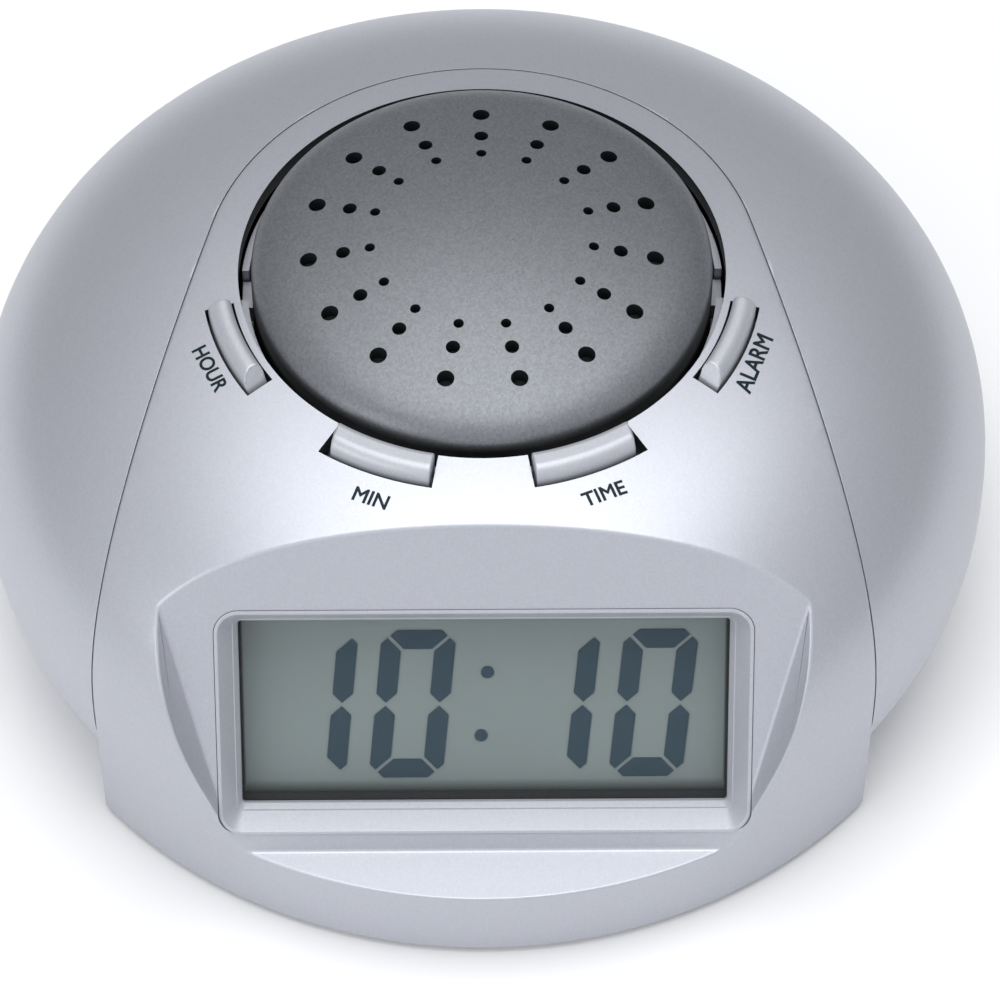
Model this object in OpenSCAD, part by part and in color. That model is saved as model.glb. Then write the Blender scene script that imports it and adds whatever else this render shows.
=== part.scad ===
// Talking clock: a dome-shaped table clock that speaks the time when its speaker cap is pressed.
// The origin is on the table under the dome's axis, +Z is up and the display faces -Y.

/* [Dome] */
// Largest radius of the dome, at its widest level
dome_r = 60; // [56:0.5:66]
// Height of the dome above its widest level
dome_h = 29.7; // [27:0.1:33]
// Squareness of the dome's upper curve, where 2 is an ellipse
dome_power = 2.7; // [2.4:0.05:3]
// Height of the widest level above the lower edge of the shells
skirt_h = 18.3; // [16.5:0.1:21]
// Half height of the ellipse that the dome follows under its widest level
under_h = 36; // [30:0.5:50]
// Wall thickness of the two shells
wall = 2; // [1.6:0.1:2.3]

/* [Front shell] */
// Radius of the round part of the front shell, about the speaker
collar_r = 32.4; // [32.2:0.1:34]
// Angle by which each side seam opens towards the front
seam_splay = 14.5; // [12:0.5:17]
// Width of the open seam between the two shells
seam_gap = 0.15; // [0.1:0.05:0.3]
// Height of the flat ledge under the display above the lower edge of the shells
ledge_h = 10.6; // [9:0.1:12]
// Tilt of the display face from level
face_tilt = 60; // [58:0.5:63]
// Distance of the display face's lower edge in front of the dome's axis
face_front = 53.3; // [52:0.1:54]
// Half width of the display face at its lower edge
face_foot_w = 28.5; // [27.5:0.1:29.5]
// Angle by which the face widens towards its top on each side
face_splay = 14.4; // [12:0.2:16]
// Angle by which the recess's side facets lean outwards
facet_flare = 32; // [25:1:40]

/* [Speaker cap] */
// Distance of the speaker's axis behind the dome's axis
speaker_back = 3.5; // [2.5:0.1:4.5]
// Radius of the round well in the top of the front shell
well_r = 28.2; // [28.2:0.1:28.6]
// Radius of the cap that is pressed
cap_r = 26.7; // [26.2:0.1:26.7]
// Height of the cap's middle above the dome's top
cap_proud = 4.6; // [3:0.1:6]
// Radius of the cap's shallow crown
cap_crown_r = 95; // [80:1:120]
// Radius of the cap's rounded shoulder
cap_shoulder = 3.2; // [2:0.1:4]
// Thickness of the cap
cap_wall = 1.7; // [1.4:0.1:2]
// Depth of the cap's skirt under its shoulder
cap_skirt = 7.5; // [6.5:0.1:8]
// How far the cap goes down when it is pressed
cap_travel = 1.5; // [0.8:0.1:1.5]
// Number of rays of sound holes
hole_rays = 15; // [9:1:18]
// Radius of the outer ring of sound holes
hole_ring_r = 20; // [19:0.1:20]
// Radius of an outer sound hole
hole_r = 1; // [0.8:0.05:1.1]

/* [Keys] */
// Radius of the slots' outer edge, about the speaker
slot_r = 32.4; // [31.8:0.1:32.4]
// Half of the angle that one slot spans
slot_half = 12.3; // [11:0.1:13]
// Angle between neighbouring keys
key_pitch = 45; // [43:0.5:46]
// Height of a key's top above the shell beside it
key_proud = 1.6; // [1.2:0.1:2]
// Gap between a key and its slot
key_gap = 0.35; // [0.3:0.05:0.45]
// How far a key goes down when it is pressed
key_travel = 0.6; // [0.3:0.05:0.6]

/* [Display] */
// Distance of the display's middle above the ledge, along the face
display_up = 16.2; // [16:0.1:17]
// Width of the silver bezel
bezel_w = 60.6; // [58:0.1:60.6]
// Height of the silver bezel
bezel_h = 28; // [26.5:0.1:28]
// Width of the window in the bezel
window_w = 55.5; // [52:0.1:55.5]
// Height of the window in the bezel
window_h = 22.9; // [21:0.1:23]
// Depth of the window's edge under the display face
window_deep = 3; // [2.6:0.1:3.2]
// Height of a digit
digit_h = 18.6; // [15:0.1:19]
// Width of a digit before its slant
digit_w = 8.5; // [6:0.1:8.6]
// Slant of the digits
digit_slant = 5.5; // [0:0.5:10]

/* [Base and battery] */
// Height of the rubber feet under the shells
foot_h = 0.8; // [0.5:0.1:1.5]
// Thickness of the base plate
base_t = 2.4; // [2.4:0.1:3]
// Radius of a battery cell
cell_r = 7.1; // [7:0.05:7.2]
// Length of a battery cell with its nub
cell_len = 50.5; // [49.5:0.1:51]
// Thickness of the battery door
door_t = 1.6; // [1.5:0.05:1.7]

/* [Hidden] */

$fn = 96;
silver = [0.74, 0.75, 0.79];
dark_silver = [0.47, 0.48, 0.51];
near_black = [0.1, 0.1, 0.11];
board_green = [0.12, 0.36, 0.22];
steel = [0.72, 0.72, 0.73];
brass = [0.75, 0.62, 0.35];
// Clearance of a close fit, of a seat, round a part that drops in, and round what moves
fit = 0.05;
seat = 0.1;
drop_in = 0.2;
free = 0.3;
// Overlap that makes two shapes one, and a length past everything
bite = 0.5;
far = 200;

// Levels
edge_z = foot_h;
equator_z = edge_z + skirt_h;
ledge_z = edge_z + ledge_h;
top_z = equator_z + dome_h;
cap_top = top_z + cap_proud;
base_top = edge_z + base_t;
base_r = under_r(skirt_h);
profile_steps = 26;
under_steps = 8;
collar_steps = 30;

// Speaker tray and what stands in it
tray_r = well_r - drop_in;
tray_wall = 0.8;
ring_drop = 2.5;
ring_top = surface_z(well_r + speaker_back) - ring_drop;
cap_edge_z = cap_top - cap_crown_drop(cap_r - cap_shoulder) - cap_shoulder;
shoulder_angle = 75;
skirt_low = cap_edge_z - cap_skirt;
skirt_room = 2.75;
cap_in = cap_r - cap_wall;
floor_t = 1.5;
floor_top = skirt_low - cap_travel - skirt_room;
floor_low = floor_top - floor_t;
floor_hole_r = 21;
lug_w = 3.9;
lug_h = 2.5;
lug_drop = 1.7;
lug_top = ring_top - lug_drop;
lug_low = lug_top - lug_h;
lug_in = 0.15;
lug_r = tray_r - lug_in;
lug_gap = 0.25;
ear_ring_r = 30.3;
ear_r = 2.2;
ear_post_r = 1.9;
ear_t = 1.5;
ear_angles = [45, 135, 225, 315];
small_screw_r = 0.9;
small_head_r = 1.8;
small_head_h = 1;
tray_screw_bite = 2.4;
screw_tip_room = 0.25;
post_ring_r = 23.2;
post_r = 1.6;
spring_h = 8.5;
spring_r = 1.35;
spring_wire = 0.2;
spring_turns = 6;
spring_pin_r = 0.8;
spring_pin_h = 2;
post_low = floor_top + spring_h;
spring_angles = [30, 150, 270];
switch_angle = 90;
leg_angles = [0, 120, 240];
leg_r = 24.3;
leg_t = 1.2;
leg_w = 3;
leg_room = 0.4;
hook_h = 1.1;
hook_out = 1;
clamp_angles = [60, 180, 300];
clamp_ring_r = 24.7;
clamp_r = 0.8;
clamp_boss_r = 1.8;
clamp_boss_h = 2;
clamp_head_r = 2;
clamp_head_h = 0.9;
cap_steps = 10;
// Places of the three sound holes of a ray, inwards from the outer ring, and their sizes
hole_rings = [0, 4, 7.1];
hole_sizes = [1, 0.82, 0.6];
cloth_t = 0.4;
cloth_gap = 0.25;
cloth_steps = 8;

// Small switches under the cap and the keys
switch_w = 4.5;
switch_h = 2.5;
plunger_r = 1.1;
plunger_in = 0.7;
key_plunger_up = 0.9;
talk_plunger_up = cap_travel + 0.4;

// Keys from left to right, as angles about the speaker
key_angles = [for (k = [-1.5 : 1 : 1.5]) -90 + k * key_pitch];
rib_t = 0.8;
key_round = 1.25;
lip_t = 0.7;
lip_w = 0.7;
lip_under = 0.5;
lip_top = surface_z(slot_r + lip_w, wall) - lip_under;
key_low = lip_top - lip_t;
board_top = key_low - seat - key_plunger_up - switch_h;
board_t = 1;
ear_low = board_top;
board_gap = 0.4;
board_r = 35;
board_end = 6;
key_end_skew = 16;
key_hip = 37;
key_hip_h = 2.3;
switch_out = 0.6;
switch_ring_r = (well_r + slot_r) / 2 + switch_out;

// Display stack, as distances behind the face
bezel_r = 2.8;
bezel_proud = 0.2;
bezel_rim = 0.4;
window_r = 0.4;
flange_t = 1.5;
flange_r = 7;
flange_side = 0.75;
flange_end = 0.9;
flange_w = bezel_w + 2 * flange_side;
flange_h = bezel_h + 2 * flange_end;
lens_at = wall + seat + flange_t + seat;
lens_t = 1;
lens_lap = 1.3;
lens_gap = 1.7;
glass_at = lens_at + lens_t + lens_gap;
glass_side = 1.9;
glass_end = 2.5;
glass_w = window_w + 2 * glass_side;
glass_h = window_h + 2 * glass_end;
glass_r = 0.3;
glass_t = 2.2;
reflector_side = 0.6;
reflector_end = 0.8;
reflector_w = window_w - 2 * reflector_side;
reflector_h = window_h - 2 * reflector_end;
reflector_t = 0.8;
strip_w = 2.2;
strip_in = 1.6;
strip_y = glass_h / 2 - strip_in;
strip_room = 2.6;
pcb_at = glass_at + glass_t + strip_room;
pcb_t = 1.6;
pcb_back = pcb_at + pcb_t;
stand_r = 2.2;
stand_x = flange_w / 2 + seat + stand_r;
stand_ys = [-4.2, 10.8];
pcb_w = 2 * (stand_x + stand_r);
pcb_end = 0.95;
pcb_h = flange_h + 2 * pcb_end;
arm_t = 3;
stand_hole = 1.8;
stroke = 2.35;
stroke_gap = 0.22;
corner_cut = 1.4;
digit_pitch = 11.15;
digit_mid = 8.2;
digit_drop = 0.7;
colon_y = 4;
colon_r = 0.75;
segment_t = 0.1;

// Parts on the back of the main board, at their places from the display's middle
chip_at = [-6, 2];
chip_base_r = 7;
chip_base_t = 1;
chip_r = 5.5;
chip_t = 0.6;
crystal_at = [14, -8];
crystal_r = 1.5;
crystal_len = 6.2;
can_xs = [15, 23];
can_y = 5;
can_r = 2.5;
can_h = 6;

// Battery bay
cell_gap = 0.6;
cell_pitch = 2 * cell_r + cell_gap;
nub_r = 2.7;
nub_h = 1;
bay_mid = 16;
bay_end = 2.75;
bay_side = 1;
bay_half_x = cell_len / 2 + bay_end;
bay_half_y = cell_pitch / 2 + cell_r + bay_side;
bay_wall = 1.4;
door_top = edge_z + door_t;
cell_z = door_top + free + cell_r;
bay_top = cell_z + cell_r + free;
ledge_w = 1.2;
hinge_y = bay_mid - bay_half_y - ledge_w + free + door_t / 2;
hinge_z = edge_z + door_t / 2;
hinge_pin_r = 0.5;
hinge_pin_len = 1.2;
latch_w = 8;
latch_t = 1;
latch_h = 2.5;
latch_in = 2.4;
grip_w = 10;
grip_count = 4;
grip_groove = 0.8;
grip_deep = 0.4;
grip_in = 8;
plate_t = 0.4;
plate_w = 10;
plate_h = 11;
contact_r = 3.2;
contact_wire = 0.35;
contact_turns = 3;

// Speaker under the tray's floor
gasket_t = 0.5;
gasket_in = 20.5;
basket_r = 23;
basket_t = 0.8;
basket_h = 9.5;
basket_foot_r = 14.5;
basket_low = floor_low - basket_h;
window_side = 8;
rim_z = floor_low - gasket_t;
magnet_r = 11;
magnet_h = 4;
vent_r = 3;
pole_r = 5;
pole_h = 3;
coil_r = 5.6;
coil_t = 0.6;
cone_t = 0.6;
cone_top_r = 17.4;
cone_rim_r = 19.4;

// Case screws and feet, at their places from the dome's axis
boss_r = 3.2;
boss_hole = 12;
screw_r = 1.3;
screw_len = 10;
head_r = 2.7;
head_h = 1.1;
head_sink = 0.2;
foot_r = 3.5;
foot_sink = 0.7;
front_boss = [pcb_w / 2 + seat, -22];
rear_boss = [38, 18];
feet = [[33, -36], [26, 37]];

// Coil springs: steps in a turn and corners of the wire
coil_steps = 12;
coil_sides = 6;

function superellipse(r, h, p, t) = [r * pow(cos(t), 2 / p), h * pow(sin(t), 2 / p)];
function upper_curve(inset) = [for (k = [1 : profile_steps])
    superellipse(dome_r - inset, dome_h - inset, dome_power, 90 * k / profile_steps)];
function under_r(drop, inset = 0) = (dome_r - inset) * sqrt(1 - pow(drop / under_h, 2));
function under_curve(inset, drop) = [for (k = [under_steps : -1 : 0])
    [under_r(drop * k / under_steps, inset), -drop * k / under_steps]];
// Height of the dome's surface, or of its inner wall, at a distance from the axis
function surface_z(r, inset = 0) = equator_z
    + (dome_h - inset) * pow(1 - pow(r / (dome_r - inset), dome_power), 1 / dome_power);
function cap_crown_drop(r) = cap_crown_r - sqrt(pow(cap_crown_r, 2) - pow(r, 2));
function arc(cx, cy, r, a0, a1, steps) = [for (k = [0 : steps])
    [cx + r * cos(a0 + (a1 - a0) * k / steps), cy + r * sin(a0 + (a1 - a0) * k / steps)]];
// Outline of the front shell seen from above: an arc behind the speaker and two straight seams
function seam_end(side, grow) = let (r = collar_r + grow, a = seam_splay)
    [side * (r * cos(a) + far * sin(a)), speaker_back + r * sin(a) - far * cos(a)];
function front_plan(grow) = concat([seam_end(1, grow)],
    arc(0, speaker_back, collar_r + grow, seam_splay, 180 - seam_splay, collar_steps), [seam_end(-1, grow)]);
function round_rect(w, h, r) = concat(
    arc(w / 2 - r, h / 2 - r, r, 0, 90, 6), arc(-w / 2 + r, h / 2 - r, r, 90, 180, 6),
    arc(-w / 2 + r, -h / 2 + r, r, 180, 270, 6), arc(w / 2 - r, -h / 2 + r, r, 270, 360, 6));

module on_speaker(z = 0) translate([0, speaker_back, z]) children();
module around_speaker(angle, r, z = 0) on_speaker(z) rotate([0, 0, angle]) translate([r, 0, 0]) children();
module on_face() translate([0, -face_front, ledge_z]) rotate([face_tilt, 0, 0]) children();
module behind_face(depth) on_face() translate([0, display_up, -depth]) children();
module both_sides() {
    children();
    mirror([1, 0, 0]) children();
}
module at_stands() for (x = [-stand_x, stand_x], y = stand_ys) translate([x, y, 0]) children();
module ring(r_out, r_in, h) difference() {
    cylinder(r = r_out, h = h);
    translate([0, 0, -bite]) cylinder(r = r_in, h = h + 2 * bite);
}
module sector(r_in, r_out, a0, a1) difference() {
    intersection() {
        circle(r = r_out);
        polygon(concat([[0, 0]], arc(0, 0, 2 * r_out, a0, a1, 4)));
    }
    circle(r = r_in);
}

// Full dome, or the room inside it
module dome(inset = 0, low = 0) translate([0, 0, equator_z]) rotate_extrude()
    polygon(concat([[0, -skirt_h - low]], under_curve(inset, skirt_h + low), upper_curve(inset)));
// Front block: the same top, with its widest radius carried straight down
module straight_dome(inset = 0, low = 0) translate([0, 0, equator_z]) rotate_extrude()
    polygon(concat([[0, -skirt_h - low], [dome_r - inset, -skirt_h - low], [dome_r - inset, 0]],
        upper_curve(inset)));
module front_prism(grow) translate([0, 0, -far / 2]) linear_extrude(far) polygon(front_plan(grow));

// Room in front of the display face and above the ledge; grow thickens it by the wall
module face_side(grow) translate([face_foot_w, 0, 0]) rotate([0, 0, -face_splay])
    rotate([0, facet_flare, 0]) translate([grow - far, -far / 2, -far / 2]) cube(far);
module recess(grow = 0) intersection() {
    on_face() intersection() {
        translate([-far / 2, -far / 2, -grow]) cube(far);
        face_side(grow);
        mirror([1, 0, 0]) face_side(grow);
    }
    translate([-far / 2, -far, ledge_z - grow]) cube(far);
}
module front_room() difference() {
    intersection() {
        straight_dome(wall, bite);
        union() {
            front_prism(-wall);
            translate([-far / 2, -far / 2, equator_z]) cube(far);
            translate([0, 0, equator_z]) rotate_extrude() polygon(concat(
                [[0, -skirt_h - bite]], under_curve(wall, skirt_h + bite),
                [[dome_r - wall, bite], [0, bite]]));
        }
    }
    recess(wall);
}

module slot_cut(k) {
    opened = abs(k - 1.5) < 1;
    on_speaker(equator_z) linear_extrude(far) sector(opened ? cap_r : well_r + rib_t, slot_r,
        key_angles[k] - slot_half, key_angles[k] + slot_half);
}
module case_post(place) translate([place[0], place[1], base_top])
    cylinder(r = boss_r, h = surface_z(norm(place) + boss_r) - wall / 2 - base_top);
module screw_hole(place) translate([place[0], place[1], base_top - bite])
    cylinder(r = screw_r + fit, h = boss_hole);

module rear_shell() color(silver) difference() {
    union() {
        difference() {
            dome();
            dome(wall, bite);
            front_prism(seam_gap);
        }
        both_sides() case_post(rear_boss);
    }
    both_sides() screw_hole(rear_boss);
}

module front_shell() color(silver) difference() {
    union() {
        difference() {
            intersection() {
                straight_dome();
                front_prism(0);
            }
            front_room();
            recess();
        }
        both_sides() case_post(front_boss);
        for (a = ear_angles) around_speaker(a, ear_ring_r, ear_low + ear_t) cylinder(r = ear_post_r,
            h = surface_z(ear_ring_r + speaker_back) - wall / 2 - ear_low - ear_t);
        behind_face(lens_at) at_stands() cylinder(r = stand_r, h = lens_at - wall / 2);
    }
    on_speaker(equator_z) cylinder(r = well_r, h = far);
    for (k = [0 : 3]) slot_cut(k);
    behind_face(wall + bite) linear_extrude(far)
        polygon(round_rect(bezel_w + 2 * drop_in, bezel_h + 2 * drop_in, bezel_r + drop_in));
    both_sides() screw_hole(front_boss);
    for (a = ear_angles) around_speaker(a, ear_ring_r, ear_low)
        cylinder(r = small_screw_r + fit, h = ear_t + tray_screw_bite + screw_tip_room);
    behind_face(lens_at + bite) at_stands() cylinder(r = small_screw_r + fit, h = stand_hole);
}

module base_outline(shrink) {
    circle(r = base_r - wall - shrink);
    intersection() {
        circle(r = dome_r - wall - shrink);
        polygon(front_plan(-wall - shrink));
    }
}
module bay_box(grow, low, high) translate([-bay_half_x - grow, bay_mid - bay_half_y - grow, low])
    cube([2 * (bay_half_x + grow), 2 * (bay_half_y + grow), high - low]);

module base_plate() color(silver) difference() {
    union() {
        translate([0, 0, edge_z]) linear_extrude(base_t) base_outline(drop_in);
        bay_box(bay_wall, base_top - bite, bay_top + bay_wall);
    }
    bay_box(0, 0, bay_top);
    bay_box(ledge_w, 0, door_top + free);
    both_sides() translate([bay_half_x, hinge_y, hinge_z]) rotate([0, 90, 0])
        cylinder(r = hinge_pin_r + fit, h = ledge_w + hinge_pin_len + free);
    for (p = [front_boss, rear_boss]) both_sides() translate([p[0], p[1], 0]) {
        cylinder(r = screw_r + fit, h = screw_len);
        cylinder(r = head_r + seat, h = edge_z + head_sink + head_h);
    }
    for (p = feet) both_sides() translate([p[0], p[1], 0])
        cylinder(r = foot_r + seat, h = edge_z + foot_sink);
}

module battery_door() color(silver) {
    half_x = bay_half_x + ledge_w - free;
    back_y = bay_mid + bay_half_y + ledge_w - free;
    difference() {
        union() {
            translate([-half_x, hinge_y, edge_z]) cube([2 * half_x, back_y - hinge_y, door_t]);
            translate([-half_x, hinge_y, hinge_z]) rotate([0, 90, 0])
                cylinder(r = door_t / 2, h = 2 * half_x);
            translate([-half_x - hinge_pin_len, hinge_y, hinge_z]) rotate([0, 90, 0])
                cylinder(r = hinge_pin_r, h = 2 * (half_x + hinge_pin_len));
            translate([-latch_w / 2, back_y - latch_in, door_top - bite])
                cube([latch_w, latch_t, latch_h + bite]);
        }
        for (k = [0 : grip_count - 1])
            translate([-grip_w / 2, back_y - grip_in + 2 * grip_groove * k, edge_z - bite])
                cube([grip_w, grip_groove, grip_deep + bite]);
    }
}

module speaker_tray() color(silver) difference() {
    union() {
        on_speaker(floor_low) ring(tray_r, tray_r - tray_wall, ring_top - floor_low);
        on_speaker(floor_low) ring(tray_r - tray_wall / 2, floor_hole_r, floor_t);
        for (a = ear_angles) around_speaker(a, ear_ring_r, ear_low) {
            cylinder(r = ear_r, h = ear_t);
            translate([tray_r - tray_wall / 2 - ear_ring_r, -ear_r, 0])
                cube([ear_ring_r - tray_r + tray_wall / 2, 2 * ear_r, ear_t]);
        }
        for (a = spring_angles) around_speaker(a, post_ring_r, floor_top - bite)
            cylinder(r = spring_pin_r, h = spring_pin_h + bite);
        for (a = clamp_angles) around_speaker(a, clamp_ring_r, floor_top - bite)
            cylinder(r = clamp_boss_r, h = clamp_boss_h + bite);
    }
    for (a = [0, 180]) around_speaker(a, tray_r - tray_wall - bite, lug_low - cap_travel - free)
        translate([0, -lug_w / 2 - lug_gap, 0]) cube([tray_wall + 2 * bite, lug_w + 2 * lug_gap, far]);
    for (a = leg_angles) around_speaker(a, leg_r, floor_low - bite)
        translate([-leg_t / 2 - leg_room, -leg_w / 2 - leg_room, 0])
            cube([leg_t + 2 * leg_room, leg_w + 2 * leg_room, floor_t + 2 * bite]);
    for (a = ear_angles) around_speaker(a, ear_ring_r, ear_low - bite)
        cylinder(r = small_screw_r + fit, h = ear_t + 2 * bite);
    for (a = clamp_angles) around_speaker(a, clamp_ring_r, floor_low - bite)
        cylinder(r = clamp_r + fit, h = bite + floor_t + clamp_boss_h - bite);
}

// Half section of the cap, as the outer or the inner outline
function cap_section(inset) = let (reach = cap_r - cap_shoulder)
    concat([for (k = [0 : cap_steps]) let (r = reach * k / cap_steps)
            [r, cap_top - cap_crown_drop(r) - inset]],
        arc(reach, cap_edge_z, cap_shoulder - inset, shoulder_angle, 0, 6),
        [[cap_r - inset, skirt_low], [0, skirt_low]]);
module cap_post(angle, low) around_speaker(angle, post_ring_r, low)
    cylinder(r = post_r, h = cap_top - cap_crown_drop(post_ring_r) - cap_wall / 2 - low);

module talk_cap() color(dark_silver) difference() {
    union() {
        difference() {
            on_speaker() rotate_extrude() polygon(cap_section(0));
            on_speaker(-seat) rotate_extrude() polygon(cap_section(cap_wall));
        }
        for (a = spring_angles) cap_post(a, post_low);
        cap_post(switch_angle, floor_top + switch_h + talk_plunger_up + seat);
        for (a = leg_angles) around_speaker(a, leg_r, floor_low - free - hook_h) {
            translate([-leg_t / 2, -leg_w / 2, 0]) cube([leg_t, leg_w,
                cap_top - cap_crown_drop(leg_r + leg_t) - cap_wall / 2 - floor_low + free + hook_h]);
            translate([0, -leg_w / 2, 0]) cube([leg_t / 2 + hook_out, leg_w, hook_h]);
        }
        for (a = [0, 180]) around_speaker(a, cap_in + bite, lug_low)
            translate([0, -lug_w / 2, 0]) cube([lug_r - cap_in - bite, lug_w, lug_h]);
    }
    for (k = [0 : hole_rays - 1], n = [0 : 2])
        around_speaker(90 + k * 360 / hole_rays, hole_ring_r - hole_rings[n], cap_edge_z)
            cylinder(r = hole_r * hole_sizes[n], h = far);
}

module dust_cloth() color(near_black) on_speaker() {
    cloth_r = post_ring_r - post_r - cloth_gap;
    under = cap_top - cap_wall - 2 * seat;
    rotate_extrude() polygon(concat(
        [for (k = [0 : cloth_steps]) let (r = cloth_r * k / cloth_steps) [r, under - cap_crown_drop(r)]],
        [for (k = [cloth_steps : -1 : 0]) let (r = cloth_r * k / cloth_steps)
            [r, under - cloth_t - cap_crown_drop(r)]]));
}

// Coil spring standing on its lower end: one unbroken wire with a ring of points at each step
module coil(r, wire, turns, height) {
    steps = turns * coil_steps;
    rise = (height - 2 * wire) / steps;
    points = [for (k = [0 : steps], j = [0 : coil_sides - 1])
        let (a = 360 * k / coil_steps, b = 360 * j / coil_sides)
        [(r + wire * cos(b)) * cos(a), (r + wire * cos(b)) * sin(a), wire + rise * k + wire * sin(b)]];
    sides = [for (k = [0 : steps - 1], j = [0 : coil_sides - 1])
        let (a = k * coil_sides + j, b = k * coil_sides + (j + 1) % coil_sides)
        each [[a, b, a + coil_sides], [b, b + coil_sides, a + coil_sides]]];
    last = steps * coil_sides;
    ends = [for (j = [1 : coil_sides - 2]) each [[0, j + 1, j], [last, last + j, last + j + 1]]];
    echo(coil_turns = turns, least_gap = rise * coil_steps - 2 * wire);
    polyhedron(points, concat(sides, ends), convexity = 10);
}
module cap_springs() color(steel) for (a = spring_angles)
    around_speaker(a, post_ring_r, floor_top) coil(spring_r, spring_wire, spring_turns, spring_h);

module switch_body(travel) color(near_black) difference() {
    translate([-switch_w / 2, -switch_w / 2, 0]) cube([switch_w, switch_w, switch_h]);
    translate([0, 0, switch_h - plunger_in - travel - seat]) cylinder(r = plunger_r + fit, h = far);
}
module plunger(up) color(brass) translate([0, 0, switch_h - plunger_in])
    cylinder(r = plunger_r, h = plunger_in + up);
module at_talk_switch() around_speaker(switch_angle, post_ring_r, floor_top) children();
module talk_switch() at_talk_switch() switch_body(cap_travel);
module talk_plunger() at_talk_switch() plunger(talk_plunger_up);

// Section of a key with its two upper edges rounded, and the keys of the right-hand side
function key_section(r_in, r_out, low, high) = concat([[r_in, low], [r_out, low]],
    arc(r_out - key_round, high - key_round, key_round, 0, 90, 5),
    arc(r_in + key_round, high - key_round, key_round, 90, 180, 5));
module key(k) {
    outer = k == 3;
    r_in = outer ? well_r + rib_t + key_gap : well_r + key_gap;
    r_out = slot_r - key_gap;
    mid = (r_in + r_out) / 2;
    half = slot_half - key_gap / mid * 180 / PI;
    place = [mid * cos(key_angles[k]), mid * sin(key_angles[k]) + speaker_back];
    high = surface_z(norm(place)) + key_proud;
    lip = lip_w / mid * 180 / PI;
    color(silver) on_speaker() {
        difference() {
            rotate([0, 0, key_angles[k] - half]) rotate_extrude(angle = 2 * half)
                polygon(key_section(r_in, r_out, key_low, high));
            // The outer keys have a sloped lower end, the inner keys a skewed outer end
            if (outer) rotate([0, 0, key_angles[k] - half]) translate([mid, 0, high - key_hip_h])
                rotate([-key_hip, 0, 0]) translate([-far / 2, -far, -far / 2]) cube(far);
            else rotate([0, 0, key_angles[k] + half]) translate([r_in, 0, key_low + lip_t])
                rotate([0, 0, -key_end_skew]) translate([-far / 2, 0, 0]) cube(far);
        }
        translate([0, 0, key_low]) linear_extrude(lip_t)
            sector(r_in, slot_r + lip_w, key_angles[k] - slot_half - lip, key_angles[k] + slot_half + lip);
    }
}
module time_key() key(2);
module alarm_key() key(3);
module minute_key() mirror([1, 0, 0]) time_key();
module hour_key() mirror([1, 0, 0]) alarm_key();
module at_key(k) around_speaker(key_angles[k], switch_ring_r, board_top) children();
module hour_plunger() at_key(0) plunger(key_plunger_up);
module minute_plunger() at_key(1) plunger(key_plunger_up);
module time_plunger() at_key(2) plunger(key_plunger_up);
module alarm_plunger() at_key(3) plunger(key_plunger_up);
module key_switches() for (k = [0 : 3]) at_key(k) switch_body(key_travel);

module key_board() color(board_green) difference() {
    on_speaker(board_top - board_t) linear_extrude(board_t)
        sector(tray_r + board_gap, board_r, board_end - 180, -board_end);
    for (a = [225, 315]) around_speaker(a, ear_ring_r, board_top - board_t - bite)
        cylinder(r = small_screw_r + fit, h = board_t + 2 * bite);
}

module slab(w, h, r, t) linear_extrude(t) polygon(round_rect(w, h, r));
module lcd_bezel() color(silver) behind_face(wall + seat + flange_t) difference() {
    depth = wall + seat + flange_t - window_deep;
    union() {
        slab(flange_w, flange_h, flange_r, flange_t);
        slab(bezel_w, bezel_h, bezel_r, wall + seat + flange_t + bezel_proud);
    }
    translate([0, 0, -bite]) slab(window_w, window_h, window_r, depth + 2 * bite);
    hull() {
        translate([0, 0, depth]) slab(window_w, window_h, window_r, 0.01);
        translate([0, 0, depth + window_deep + bezel_proud]) slab(bezel_w - 2 * bezel_rim,
            bezel_h - 2 * bezel_rim, bezel_r - bezel_rim, bite);
    }
}
module lcd_lens() color([0.8, 0.85, 0.85, 0.35]) behind_face(lens_at + lens_t)
    slab(window_w + 2 * lens_lap, window_h + 2 * lens_lap, 1, lens_t - fit);
module lcd_frame() color(near_black) difference() {
    union() {
        behind_face(glass_at) slab(flange_w, flange_h, flange_r, glass_at - lens_at);
        behind_face(pcb_at) slab(flange_w, flange_h, 1.5, pcb_at - glass_at);
        for (y = stand_ys) behind_face(pcb_at) translate([-stand_x, y - stand_r, 0])
            cube([2 * stand_x, 2 * stand_r, arm_t]);
        behind_face(pcb_at) at_stands() cylinder(r = stand_r, h = pcb_at - lens_at);
    }
    behind_face(lens_at + lens_t + fit) slab(window_w + 2 * (lens_lap + drop_in),
        window_h + 2 * (lens_lap + drop_in), 1.2, far);
    behind_face(pcb_at + bite) slab(window_w + 1, window_h + 1, 0.8, far);
    behind_face(pcb_at + bite) slab(glass_w + drop_in, glass_h + drop_in, glass_r,
        pcb_at + bite - glass_at);
    behind_face(pcb_at + bite) at_stands() cylinder(r = small_screw_r + fit, h = far);
}
module lcd_glass() color([0.45, 0.5, 0.47]) behind_face(glass_at + glass_t)
    slab(glass_w, glass_h, glass_r, glass_t - fit);
module lcd_reflector() color([0.8, 0.8, 0.78]) behind_face(glass_at + glass_t + reflector_t)
    slab(reflector_w, reflector_h, glass_r, reflector_t - fit);
module contact_strips() color([0.3, 0.3, 0.35]) for (s = [-1, 1]) behind_face(pcb_at - fit)
    translate([-reflector_w / 2, s * strip_y - strip_w / 2, 0])
        cube([reflector_w, strip_w, pcb_at - glass_at - glass_t - 2 * fit]);
module main_board() color(board_green) behind_face(pcb_back) difference() {
    slab(pcb_w, pcb_h, 1, pcb_back - pcb_at - fit);
    translate([0, 0, -bite]) at_stands() cylinder(r = small_screw_r + fit, h = pcb_back - pcb_at + 2 * bite);
}

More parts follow.
